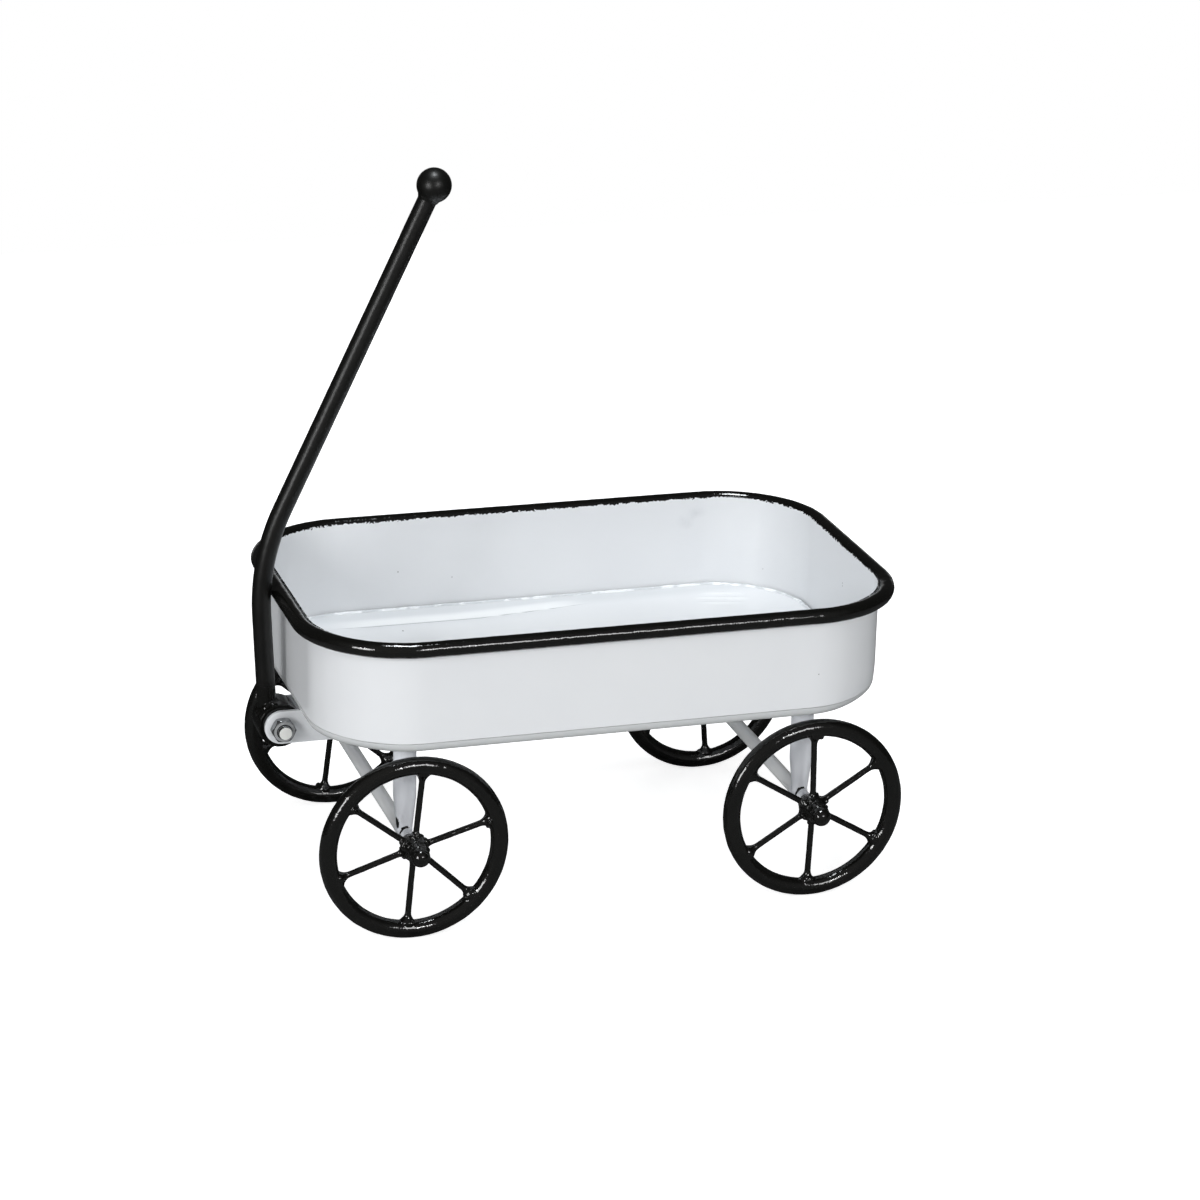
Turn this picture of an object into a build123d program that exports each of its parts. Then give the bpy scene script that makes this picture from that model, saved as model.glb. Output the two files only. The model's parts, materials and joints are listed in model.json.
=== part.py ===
from build123d import *
import math
import os

# A small garden wagon: a white sheet-steel tray on four wire wheels, with a bent pull handle.
# Sizes are in millimetres. +X points to the handle end, +Y to the wagon's left and +Z up.
# Pieces are drawn about the middle of the tray, with the ground at zero height.

# Tray
tray_length = 340.9              # outside of the wall
tray_width = 212.5               # outside of the wall
tray_corner_radius = 55.1        # outside of the wall
wall_sheet = 0.9
floor_sheet = 0.9
floor_recess = 8.1               # from the lower edge of the tray up to the underside of the floor
floor_bend = 2.0                 # outside radius where the floor's edge is turned down
floor_fit = 0.05                 # between the floor's turned-down edge and the wall
lip_height = 5.6                 # lip of the floor that shows below the wall
lip_roll = 5.0                   # outside radius of the lip's rolled-in lower edge
roll_share = 0.95                # the most of the lip's height that its rolled edge takes
seam_gap = 0.2                   # between the lip and the lower edge of the wall
bead_size = 1.6                  # sealing bead in the corner of wall and floor
bead_depth = 1.0                 # how far the bead reaches down beside the floor's bend
bead_round = 1.3
hoop_bar = 9.1                   # round bar of the rim
hoop_rise = 63.5                 # from the lower edge of the tray up to the middle of the bar
hoop_fit = 0.03                  # between the bar and the wall
wall_over_hoop = 2.6             # top of the wall above the middle of the bar
wall_edge_radius = 0.3
edge_share = 0.45                # the most of a sheet's thickness that one rounded edge takes

# Wheels
ring_radius = 50.0               # to the middle of the ring's bar
ring_bar = 9.7
ring_inset = 4.45                # from the outside of the wall in to the middle of the ring
wheel_gap = 3.95                 # from the top of the wheel up to the tray
spoke_wire = 3.1
hub_diameter = 12.0
hub_inner = 11.5                 # from the middle of the ring in to the end of the hub
hub_outer = 6.4                  # from the middle of the ring out to the end of the hub
hub_clearance = 0.05             # radial, around the axle
end_play = 0.3                   # beside each end of a hub
weld_length = 5.0                # how far the weld at a spoke's end runs out along the wire
weld_at_ring = 6.0               # width of the weld where a spoke meets the ring
weld_at_hub = 6.2                # width of the weld where a spoke meets the hub
weld_root = 1.3                  # how far a weld reaches round what it is welded to
spoke_fit = 0.02                 # between a spoke's ends and the ring or the hub
spoke_angles = {                 # set by hand: degrees from +X towards +Z, at rest
    "front_left": (38, 96, 164, 224, 275, 342),
    "front_right": (40, 100, 160, 221, 277, 341),
    "rear_left": (32, 89, 148, 211, 272, 328),
    "rear_right": (25, 85, 145, 205, 265, 325),
}

# Axles and legs
front_axle_inset = 50.1          # from the front of the wall back to the front axle
rear_axle_inset = 50.9           # from the rear of the wall forward to the rear axle
axle_rod = 6.0
axle_tube = 8.4
tube_fit = 0.1                   # radial, between an axle and its tube
tube_stub = 11.0                 # from the middle of a leg out to the end of the tube
leg_tube = 13.2
leg_wall = 1.2
leg_foot = 9.0                   # width of a leg's drawn-in lower end
leg_taper = 20.0
leg_saddle = 1.7                 # how far the foot reaches down beside the tube
washer_diameter = 13.0
washer_thickness = 1.2
washer_fit = 0.1                 # radial, around the axle
cap_nut_flats = 12.0
cap_nut_hex = 5.0
cap_nut_height = 12.0
cap_nut_dome = 11.2
cap_nut_bore = 9.4               # depth of the blind hole
thread_fit = 0.02                # radial, between a thread and its nut
thread_tip_gap = 0.4             # between the end of the axle and the bottom of the blind hole

# Handle and its hinge
eye_diameter = 26.2
eye_gap = 1.7                    # from the lower edge of the tray down to the eye
eye_length = 20.0
rod_diameter = 11.2
rod_fit = 0.02                   # between the rod's foot and the eye
foot_offset = 5.7                # from the pin forward to the line of the rod, at pin height
lean_low = 2.6                   # degrees forward, below the bend
lean_high = 25.5                 # degrees back, above the bend
bend_radius = 132.0
bend_over_hoop = 20.6            # from the middle of the hoop up to where the rod's two lines cross
rest_gap = 0.3                   # between the resting rod and the hoop
rod_above_bend = 237.6           # from where the two lines cross up to the middle of the knob
knob_diameter = 20.0
knob_socket = 5.0                # how deep the rod sits in the knob
knob_fit = 0.02
ear_height = 20.0
ear_thickness = 3.0
ear_play = 0.25                  # between an ear and the eye
ear_reach = 62.0                 # from the pin back to the end of the ear
ear_riser = 35.0                 # length of the part of the ear that is welded under the floor
bolt_diameter = 8.0
bolt_fit = 0.1                   # radial, between the bolt and an ear
pin_clearance = 0.05             # radial, between the bolt and the eye
bolt_flats = 13.0
bolt_head = 5.3
nut_height = 6.5
bolt_end = 3.2                   # thread beyond the nut

# Places that follow from the sizes
axle_height = ring_radius + ring_bar / 2
tray_bottom = axle_height + ring_radius + ring_bar / 2 + wheel_gap
floor_under = tray_bottom + floor_recess
floor_top = floor_under + floor_sheet
wall_bottom = tray_bottom + lip_height + seam_gap
hoop_height = tray_bottom + hoop_rise
wall_top = hoop_height + wall_over_hoop
hoop_offset = hoop_fit + hoop_bar / 2
hoop_front = tray_length / 2 + hoop_offset
front_axle_x = tray_length / 2 - front_axle_inset
rear_axle_x = rear_axle_inset - tray_length / 2
ring_y = tray_width / 2 - ring_inset
tube_end = ring_y - hub_inner - end_play
leg_y = tube_end - tube_stub
washer_y = ring_y + hub_outer + end_play
nut_y = washer_y + washer_thickness
hinge_height = tray_bottom - eye_gap - eye_diameter / 2
ear_inside = eye_length / 2 + ear_play
ear_outside = ear_inside + ear_thickness

# The bend of the rod lies so that the rod rests against the hoop, with the rest gap between them
low_lean = math.radians(lean_low)
high_lean = math.radians(lean_high)
low_line = Vector(math.sin(low_lean), 0, math.cos(low_lean))
high_line = Vector(-math.sin(high_lean), 0, math.cos(high_lean))
bend_tangent = bend_radius * math.tan((low_lean + high_lean) / 2)
corner_height = hoop_height + bend_over_hoop
arc_height = corner_height - bend_tangent * math.cos(low_lean) + bend_radius * math.sin(low_lean)
arc_to_hoop = bend_radius - (rod_diameter + hoop_bar) / 2 - rest_gap
arc_x = hoop_front - math.sqrt(arc_to_hoop ** 2 - (arc_height - hoop_height) ** 2)
corner_x = arc_x + bend_radius * math.cos(low_lean) + bend_tangent * math.sin(low_lean)
rod_corner = Vector(corner_x, 0, corner_height)
rod_foot = rod_corner - low_line * ((corner_height - hinge_height) / math.cos(low_lean))
knob_centre = rod_corner + high_line * rod_above_bend
rod_top = knob_centre - high_line * (knob_diameter / 2 - knob_socket)
hinge_x = rod_foot.X - foot_offset

# The origin lies on the ground under the middle of the whole outline
front_reach = max(hinge_x + eye_diameter / 2, arc_x + bend_radius + rod_diameter / 2)
rear_reach = tray_length / 2 + hoop_fit + hoop_bar
tray_x = (rear_reach - front_reach) / 2

standing = (Align.CENTER, Align.CENTER, Align.MIN)      # a round shape drawn upwards from its place
lowest, highest = 0, -1                                 # places in a list of edges sorted by height
os.makedirs("parts", exist_ok=True)


def save(name, shape):
    export_step(Pos(tray_x, 0, 0) * shape, f"parts/{name}.step")


def tray_outline(offset):
    # Rounded rectangle at a distance outside the wall, or inside it where the distance is negative
    return RectangleRounded(tray_length + 2 * offset, tray_width + 2 * offset, tray_corner_radius + offset)


def tray_band(outer, inner, bottom, top):
    return Pos(0, 0, bottom) * extrude(tray_outline(outer) - tray_outline(inner), top - bottom)


def tray_block(offset, bottom, top, rounded, radius):
    # Solid block inside the tray's outline, with its lowest or highest edges rounded
    block = Pos(0, 0, bottom) * extrude(tray_outline(offset), top - bottom)
    return fillet(block.edges().group_by(Axis.Z)[rounded], radius)


def along_y(shape, x, y, z):
    # Turns a shape drawn along +Z so that it runs along +Y, and places it
    return Pos(x, y, z) * Rot(-90, 0, 0) * shape


def bar_y(diameter, start, end, x, z):
    bar = Cylinder(diameter / 2, end - start, align=standing)
    return along_y(bar, x, start, z)


def pipe_y(outer, bore, start, end, x, z):
    return bar_y(outer, start, end, x, z) - bar_y(bore, start, end, x, z)


def hexagon(flats, height):
    return extrude(RegularPolygon(flats / 2, 6, major_radius=False), height)


# Tray: the wall, the floor with its turned-down edge and lip, the rim hoop and the sealing bead
def tray_wall():
    wall = tray_band(0, -wall_sheet, wall_bottom, wall_top)
    rounding = min(wall_edge_radius, edge_share * wall_sheet)
    return fillet(wall.edges().group_by(Axis.Z)[-1], rounding)


floor_edge = -wall_sheet - floor_fit
floor_inside = floor_edge - floor_sheet
roll = min(lip_roll, roll_share * lip_height)
roll_top = tray_bottom + roll
lip_top = tray_bottom + lip_height


def tray_floor():
    pan = tray_block(floor_edge, roll_top, floor_top, highest, floor_bend)
    pan -= tray_block(floor_inside, roll_top, floor_under, highest, floor_bend - floor_sheet)
    lip = tray_block(0, tray_bottom, lip_top, lowest, roll)
    lip -= tray_block(floor_inside, tray_bottom - floor_inside, lip_top, lowest, roll + floor_inside)
    lip -= Pos(0, 0, tray_bottom) * extrude(tray_outline(-roll), lip_height)
    return pan + lip


def rim_hoop():
    path = Pos(0, 0, hoop_height) * tray_outline(hoop_offset).wire()
    section = Plane(path @ 0, z_dir=path % 0) * Circle(hoop_bar / 2)
    return sweep(section, path=path)


def floor_bead():
    bottom = floor_top - bead_depth
    bead = tray_band(-wall_sheet, -wall_sheet - bead_size, bottom, floor_top + bead_size)
    top_face = bead.faces().sort_by(Axis.Z)[-1]
    rounding = min(bead_round, edge_share * 2 * bead_size)
    bead = fillet(top_face.inner_wires()[0].edges(), rounding)
    return bead - tray_block(floor_edge, roll_top, floor_top, highest, floor_bend)


save("tray_wall", tray_wall())
save("tray_floor", tray_floor())
save("rim_hoop", rim_hoop())
save("floor_bead", floor_bead())


# Undercarriage: a tube and an axle across each end, and a tapered leg above each wheel
def leg():
    foot_height = axle_height + axle_tube / 2 - leg_saddle
    taper_top = foot_height + leg_taper
    post_height = floor_under - taper_top
    foot = Pos(0, 0, foot_height) * Cone(leg_foot / 2, leg_tube / 2, leg_taper, align=standing)
    post = Pos(0, 0, taper_top) * Cylinder(leg_tube / 2, post_height, align=standing)
    bore = Pos(0, 0, taper_top) * Cylinder(leg_tube / 2 - leg_wall, post_height, align=standing)
    return foot + post - bore - bar_y(axle_tube, -leg_tube, leg_tube, 0, axle_height)


def cap_nut():
    cylinder_top = cap_nut_height - cap_nut_dome / 2
    dome = Pos(0, 0, cylinder_top) * Sphere(cap_nut_dome / 2)
    neck = Cylinder(cap_nut_dome / 2, cylinder_top, align=standing)
    thread = Cylinder(axle_rod / 2 + thread_fit, cap_nut_bore, align=standing)
    return hexagon(cap_nut_flats, cap_nut_hex) + neck + dome - thread


def washer():
    disc = Cylinder(washer_diameter / 2, washer_thickness, align=standing)
    hole = Cylinder(axle_rod / 2 + washer_fit, washer_thickness, align=standing)
    return disc - hole


def outward(shape, x, y, side):
    # Places a shape drawn along +Z so that it points out of the wagon on one side
    return Pos(x, side * y, axle_height) * Rot(-90 * side, 0, 0) * shape


ends = {"front": front_axle_x, "rear": rear_axle_x}
sides = {"left": 1, "right": -1}
axle_end = nut_y + cap_nut_bore - thread_tip_gap
for end, x in ends.items():
    tube_bore = axle_rod + 2 * tube_fit
    save(f"{end}_axle_tube", pipe_y(axle_tube, tube_bore, -tube_end, tube_end, x, axle_height))
    save(f"{end}_axle", bar_y(axle_rod, -axle_end, axle_end, x, axle_height))
    for side_name, side in sides.items():
        corner = f"{end}_{side_name}"
        save(f"{corner}_leg", Pos(x, side * leg_y, 0) * leg())
        save(f"{corner}_washer", outward(washer(), x, washer_y, side))
        save(f"{corner}_cap_nut", outward(cap_nut(), x, nut_y, side))


# Wheels: a ring of round bar, wire spokes and a hub that turns on the axle
def spoke():
    # One wire along +X from the hub to the ring, with the weld that thickens each end
    hub_weld_start = hub_diameter / 2 - weld_root
    ring_weld_end = ring_radius - ring_bar / 2 + weld_root
    weld_run = weld_length + weld_root
    hub_weld = Cone(weld_at_hub / 2, spoke_wire / 2, weld_run, align=standing)
    ring_weld = Cone(spoke_wire / 2, weld_at_ring / 2, weld_run, align=standing)
    wire = Cylinder(spoke_wire / 2, ring_radius, align=standing)
    wire += Pos(0, 0, hub_weld_start) * hub_weld
    wire += Pos(0, 0, ring_weld_end - weld_run) * ring_weld
    ring_seat = Rot(90, 0, 0) * Torus(ring_radius, ring_bar / 2 + spoke_fit)
    hub_seat = bar_y(hub_diameter + 2 * spoke_fit, -hub_inner, hub_outer, 0, 0)
    return Rot(0, 90, 0) * wire - ring_seat - hub_seat


def wheel_pieces(angles):
    # The wheel is drawn about +Y, with the middle of its ring at the origin
    ring = Rot(90, 0, 0) * Torus(ring_radius, ring_bar / 2)
    hub = pipe_y(hub_diameter, axle_rod + 2 * hub_clearance, -hub_inner, hub_outer, 0, 0)
    wire = spoke()
    spokes = [Rot(0, -angle, 0) * wire for angle in angles]
    return {"ring": ring, "hub": hub, "spokes": Compound(spokes)}


for end, x in ends.items():
    for side_name, side in sides.items():
        corner = f"{end}_{side_name}"
        turned = 0 if side > 0 else 180
        angles = [turned + side * angle for angle in spoke_angles[corner]]
        for piece, shape in wheel_pieces(angles).items():
            place = Pos(x, side * ring_y, axle_height) * Rot(0, 0, turned)
            save(f"{corner}_wheel_{piece}", place * shape)


# Hinge: two ears under the tray, and the bolt and nut that the handle turns on
def hinge_ear(inner_face):
    back = hinge_x - ear_reach
    low = hinge_height - ear_height / 2
    strip = Pos(back, low) * Rectangle(ear_reach, ear_height, align=(Align.MIN, Align.MIN))
    riser = Pos(back, low) * Rectangle(ear_riser, floor_under - low, align=(Align.MIN, Align.MIN))
    nose = Pos(hinge_x, hinge_height) * Circle(ear_height / 2)
    hole = Pos(hinge_x, hinge_height) * Circle(bolt_diameter / 2 + bolt_fit)
    plate = extrude(Plane.XZ * (strip + riser + nose - hole), -ear_thickness)
    return Pos(0, inner_face, 0) * plate


def hinge_bolt():
    shank = bar_y(bolt_diameter, -ear_outside, ear_outside + nut_height + bolt_end, hinge_x, hinge_height)
    head = along_y(hexagon(bolt_flats, bolt_head), hinge_x, -ear_outside - bolt_head, hinge_height)
    return shank + head


def hinge_nut():
    nut = along_y(hexagon(bolt_flats, nut_height), hinge_x, ear_outside, hinge_height)
    thread = bolt_diameter + 2 * thread_fit
    return nut - bar_y(thread, ear_outside, ear_outside + nut_height, hinge_x, hinge_height)


save("left_hinge_ear", hinge_ear(ear_inside))
save("right_hinge_ear", hinge_ear(-ear_outside))
save("hinge_bolt", hinge_bolt())
save("hinge_nut", hinge_nut())


# Handle: a bent rod between the eye on the bolt and a ball knob
def handle_eye():
    bore = bolt_diameter + 2 * pin_clearance
    return pipe_y(eye_diameter, bore, -eye_length / 2, eye_length / 2, hinge_x, hinge_height)


def handle_rod():
    path = FilletPolyline(rod_foot, rod_corner, rod_top, radius=bend_radius)
    section = Plane(path @ 0, z_dir=path % 0) * Circle(rod_diameter / 2)
    rod = sweep(section, path=path)
    cut = bar_y(eye_diameter + 2 * rod_fit, -eye_length / 2, eye_length / 2, hinge_x, hinge_height)
    return rod - cut


def handle_knob():
    ball = Pos(knob_centre) * Sphere(knob_diameter / 2)
    socket = Cylinder(rod_diameter / 2 + knob_fit, knob_diameter, align=standing)
    return ball - Plane(rod_top, z_dir=-high_line) * socket


save("handle_eye", handle_eye())
save("handle_rod", handle_rod())
save("handle_knob", handle_knob())

print(f"hinge axis x {tray_x + hinge_x:.4f} z {hinge_height:.4f}")
print(f"axles x {tray_x + front_axle_x:.4f} and {tray_x + rear_axle_x:.4f} z {axle_height:.4f}"
      f" rings y {ring_y:.4f}")
print(f"tray middle x {tray_x:.4f} floor z {floor_top:.4f}")
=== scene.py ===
import json
import math
import random
from functools import partial
import bmesh
import bpy
from mathutils import Matrix, Vector, noise


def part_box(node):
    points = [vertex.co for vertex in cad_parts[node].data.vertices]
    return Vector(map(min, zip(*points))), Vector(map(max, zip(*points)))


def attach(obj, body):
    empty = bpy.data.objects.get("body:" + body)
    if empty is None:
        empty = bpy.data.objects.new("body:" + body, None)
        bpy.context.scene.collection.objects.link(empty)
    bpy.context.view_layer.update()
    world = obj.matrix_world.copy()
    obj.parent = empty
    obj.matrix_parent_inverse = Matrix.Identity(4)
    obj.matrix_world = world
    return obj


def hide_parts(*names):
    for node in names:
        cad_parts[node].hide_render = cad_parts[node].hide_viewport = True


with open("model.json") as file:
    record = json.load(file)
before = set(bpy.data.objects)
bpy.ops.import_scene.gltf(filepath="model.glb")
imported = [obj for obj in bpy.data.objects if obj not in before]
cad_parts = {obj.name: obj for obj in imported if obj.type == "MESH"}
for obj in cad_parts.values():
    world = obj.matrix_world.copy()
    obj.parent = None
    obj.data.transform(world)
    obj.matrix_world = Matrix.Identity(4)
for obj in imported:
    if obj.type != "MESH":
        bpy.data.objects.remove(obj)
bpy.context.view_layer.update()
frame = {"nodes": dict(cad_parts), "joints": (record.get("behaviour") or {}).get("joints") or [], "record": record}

# White pull cart with black wire wheels. Everything is in metres, and mm turns real sizes into them.
mm = 0.001
scene = bpy.context.scene
sides = {"left": 1, "right": -1}
ends = ("front", "rear")
corners = [(end, side) for end in ends for side in sides]
wallLow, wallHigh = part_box("tray_wall")
floorLow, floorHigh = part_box("tray_floor")
hoopLow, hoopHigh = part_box("rim_hoop")
boltLow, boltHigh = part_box("hinge_bolt")
nutLow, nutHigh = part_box("hinge_nut")
hingeX, _, hingeZ = next(joint["pos_m"] for joint in frame["joints"] if joint["name"] == "handle_swing")


def hexColor(code):
    # sRGB hex to linear RGBA
    parts = [int(code[i:i + 2], 16) / 255 for i in (1, 3, 5)]
    return (*[p / 12.92 if p <= 0.04045 else ((p + 0.055) / 1.055) ** 2.4 for p in parts], 1.0)


def addNode(tree, kind, inputs=None, **settings):
    # one node (of the shader kind, unless its name says otherwise), its settings, then its values or links:
    # a node stands for its first live output, text for a hex colour, and a list links several
    node = tree.nodes.new(kind if "Node" in kind else "ShaderNode" + kind)
    for name, value in settings.items():
        setattr(node, name, value)
    for socket, value in (inputs or {}).items():
        for item in value if isinstance(value, list) else [value]:
            if isinstance(item, bpy.types.Node):
                item = next(output for output in item.outputs if output.enabled)
            if isinstance(item, bpy.types.NodeSocket):
                tree.links.new(item, node.inputs[socket])
            else:
                node.inputs[socket].default_value = hexColor(item) if isinstance(item, str) else item
    return node


def startMaterial(name):
    material = bpy.data.materials.new(name)
    material.use_nodes = True
    material.node_tree.nodes.clear()
    add = partial(addNode, material.node_tree)     # this tree's own addNode
    return material, add, add("TexCoord").outputs["Object"]


def endMaterial(material, colour, coats, bumps, sockets):
    # each coat is a share and a colour over what is there already, each bump a depth and a height
    add = partial(addNode, material.node_tree)
    for share, over in coats:
        colour = add("Mix", {0: share, 6: colour, 7: over}, data_type="RGBA")
    relief = {}
    for depth, height in bumps:
        relief = {"Normal": add("Bump", {"Distance": depth, "Height": height, **relief})}
    shader = add("BsdfPrincipled", {"Base Color": colour, **sockets, **relief})
    add("OutputMaterial", {"Surface": shader})
    return material


def specks(add, place, grid, size):
    # 1 inside a round speck, one to a cell of the grid
    cell = add("TexVoronoi", {"Vector": place, "Scale": 1 / grid})
    return add("Math", {0: cell, 1: size / grid}, operation="LESS_THAN")


def startTree(name, **sockets):
    # sockets: the names for each kind
    tree = bpy.data.node_groups.new(name, "GeometryNodeTree")
    for way in ("INPUT", "OUTPUT"):
        tree.interface.new_socket("Geometry", in_out=way, socket_type="NodeSocketGeometry")
    for kind, labels in sockets.items():
        for label in labels.split():
            tree.interface.new_socket(label, in_out="INPUT", socket_type="NodeSocket" + kind)
    add = partial(addNode, tree)
    return tree, add, add("NodeGroupInput").outputs


def endTree(tree, shape, material):
    add = partial(addNode, tree)
    real = add("GeometryNodeRealizeInstances", {"Geometry": shape})
    done = add("GeometryNodeSetMaterial", {"Geometry": real, "Material": material})
    add("NodeGroupOutput", {"Geometry": done})
    return tree


def useTree(piece, tree, values):
    modifier = piece.modifiers.new(tree.name, "NODES")
    modifier.node_group = tree
    for item in tree.interface.items_tree:
        if item.in_out == "INPUT" and item.name in values:
            modifier[item.identifier] = values[item.name]


def newPiece(name, shape):
    # a bmesh becomes an object at the origin
    mesh = bpy.data.meshes.new(name)
    shape.to_mesh(mesh)
    shape.free()
    piece = bpy.data.objects.new(name, mesh)
    scene.collection.objects.link(piece)
    return piece


def pointsPiece(name, places):
    shape = bmesh.new()
    for place in places:
        shape.verts.new(place)
    return newPiece(name, shape)


def cadCopy(*nodeNames):
    # the solids of some CAD nodes, merged into one closed mesh
    shape = bmesh.new()
    for nodeName in nodeNames:
        shape.from_mesh(frame["nodes"][nodeName].data)
    bmesh.ops.remove_doubles(shape, verts=shape.verts, dist=0.001 * mm)
    return shape


def fuse(piece, sizes):
    # welded and painted together: one skin with soft inner corners
    skin = piece.modifiers.new("skin", "REMESH")
    skin.mode = "VOXEL"
    skin.voxel_size = sizes["voxel"]
    soften = piece.modifiers.new("soften", "SMOOTH")
    soften.factor = 0.5
    soften.iterations = sizes["softRounds"]


def settle(piece, material, sharp=None):
    # the evaluated shape becomes a plain mesh and the modifiers go; edges over the sharp angle stay hard
    ready = piece.evaluated_get(bpy.context.evaluated_depsgraph_get())
    mesh = bpy.data.meshes.new_from_object(ready)
    piece.modifiers.clear()
    piece.data = mesh
    mesh.name = piece.name
    mesh.materials.clear()
    mesh.materials.append(material)
    mesh.shade_smooth()
    if sharp:
        mesh.set_sharp_from_angle(angle=math.radians(sharp))
    return piece


def pointValues(piece, name, valueAt):
    # a number on each point of the piece, for its material to read
    values = piece.data.attributes.new(name, "FLOAT", "POINT").data
    for vertex in piece.data.vertices:
        values[vertex.index].value = valueAt(vertex)


def mount(piece, body, slotName, *nodeNames):
    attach(piece, body)
    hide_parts(*nodeNames)
    print("piece", piece.name, len(piece.data.polygons), "faces")


# White enamel: sprayed and baked on sheet steel. Bright and glossy, with a slow wave in the sheet,
# a fine orange peel and a few dark pinholes. Where the rim was brushed black the edge is ragged.
whiteLook = dict(
    paint="#EEF0F2", patch="#E8EAED", pinhole="#3C3B39",
    patchSize=45 * mm,
    waveSize=75 * mm, waveDepth=0.30 * mm,
    peelSize=1.8 * mm, peelDepth=0.010 * mm,       # drawn coarser than the real peel so that it shows
    pinholeGrid=34 * mm, pinholeSize=0.30 * mm,
    roughLow=0.17, roughHigh=0.27, ior=1.5)
rimEdge = dict(
    black="#0A0A09", height=wallHigh.z - 0.4 * mm,  # paint lies above this on the wall
    toothSize=8.0 * mm, toothDepth=0.65 * mm,
    bristleSize=1.5 * mm, bristleDepth=2.2 * mm,
    calmSize=22 * mm, calmFrom=0.35, calmFull=0.55,  # stretches without bristle marks
    soft=0.06 * mm, thick=0.08 * mm)
seam = dict(grey="#D3D5D6", height=wallLow.z + 0.30 * mm, soft=0.15 * mm)      # shadow at the wall's foot
lip = dict(grey="#B9BBBA", least=0.35, top=wallLow.z, under=floorLow.z)        # painted shade, darker where the lip turns under
floorCoat = dict(pale="#F9FBFC", dull="#CCD0D3")    # painted light on the band by the crease and on the wave crests, and painted shade along the walls
# the bead: painted shade in its crevice, painted highlight dashes, and a darker base between them
beadCoat = dict(
    crevice="#A6A8AA", dull="#D6D9DC", pale="#F4F6F8", rough=0.06,
    paintedGlint=9 * mm, glintFrom=0.46, glintFull=0.56)
# legs whiter than their tube: partly their own paint, partly painted light; the tube's grey is partly painted
# shade
legCoat = dict(
    paint="#F4F6FB", patch="#EDF0F6", tube="#E6E7E5", black="#0D0D0C",
    grain=0.8 * mm, ragged=0.8, soft=0.08)
crease = dict(                                     # pressed into the tray's floor, with painted shade along its bottom and a band of painted light beside it
    y=-77.8 * mm, slantFrom=27 * mm, slant=0.12, rearEnd=-45 * mm, frontEnd=122 * mm, fade=30 * mm,
    depth=0.8 * mm, width=3.5 * mm, band=13 * mm, line=0.45 * mm, grey="#9FA2A5")
marks = dict(                                      # place and half size in mm
    speck=dict(colour="#3C3B39", strength=0.9, core=0.4, grain=None, places=(
        ((72.4, -105.4, 146.2), (0.5, 1.0, 0.5)), ((38.2, -105.4, 140.1), (0.4, 1.0, 0.4)),
        ((79.3, -65.2, 122.7), (0.7, 1.1, 1.0)), ((-175.4, 6.0, 156.8), (1.0, 0.5, 0.5)),
        ((-175.4, 6.2, 155.0), (1.0, 0.5, 0.5)))),
    smear=dict(colour="#B4B8BD", strength=0.36, core=0.0, grain=6.0 * mm, clear=0.25, solid=0.85, places=(
        ((-112.5, -105.4, 164.5), (7.0, 2.0, 6.0)), ((-119.5, -105.4, 170.0), (8.0, 2.0, 4.5)),
        ((-137.0, -105.4, 175.4), (7.0, 2.0, 1.5)))))


def markCoats(add, place):
    coats = []
    for mark in marks.values():
        solid = 1.0
        if mark["grain"]:
            grain = add("TexNoise", {"Vector": place, "Scale": 1 / mark["grain"], "Detail": 3.0})
            solid = add("MapRange", {
                "Value": grain, "From Min": mark["clear"], "From Max": mark["solid"]})
        for middle, size in mark["places"]:
            gap = add("VectorMath", {0: place, 1: Vector(middle) * mm}, operation="SUBTRACT")
            gap = add("VectorMath", {0: gap, 1: Vector(size) * mm}, operation="DIVIDE")
            gap = add("VectorMath", {0: gap}, operation="LENGTH")
            near = add("MapRange", {
                "Value": gap, "From Min": 1.0, "From Max": mark["core"], "To Max": mark["strength"]})
            near = add("Math", {0: near, 1: solid}, operation="MULTIPLY")
            coats.append((near, mark["colour"]))
    return coats


def floorCoats(add, place):
    # painted shade along the bottom of the crease, painted light and shade on the floor, and painted shade on the
    # turned-under lip
    spot = add("SeparateXYZ", {0: place}).outputs
    past = add("Math", {0: crease["slantFrom"], 1: spot["X"]}, operation="SUBTRACT")
    past = add("Math", {0: past, 1: 0.0}, operation="MAXIMUM")
    off = add("Math", {0: past, 1: crease["slant"], 2: spot["Y"]}, operation="MULTIPLY_ADD")
    # painted shade: a grey line along the bottom of the crease
    line = add("Math", {0: off, 1: crease["y"], 2: crease["line"]}, operation="COMPARE")
    for end, sign in ((crease["rearEnd"], 1), (crease["frontEnd"], -1)):
        kept = add("MapRange", {
            "Value": spot["X"], "From Min": end, "From Max": end + sign * crease["fade"]})
        line = add("Math", {0: line, 1: kept}, operation="MULTIPLY")
    tone = add("Attribute", attribute_name="floorTone").outputs["Fac"]
    pale = add("MapRange", {"Value": tone, "From Max": 1.0})
    dull = add("MapRange", {"Value": tone, "From Max": -1.0})
    # painted shade: greyer the further the lip turns under
    paintedUnderShade = add("MapRange", {
        "Value": spot["Z"], "From Min": lip["top"], "From Max": lip["under"], "To Min": lip["least"]})
    below = add("Math", {0: spot["Z"], 1: lip["top"]}, operation="LESS_THAN")
    paintedUnderShade = add("Math", {0: paintedUnderShade, 1: below}, operation="MULTIPLY")
    return [(line, crease["grey"]), (pale, floorCoat["pale"]), (dull, floorCoat["dull"]),
            (paintedUnderShade, lip["grey"])]


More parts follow.
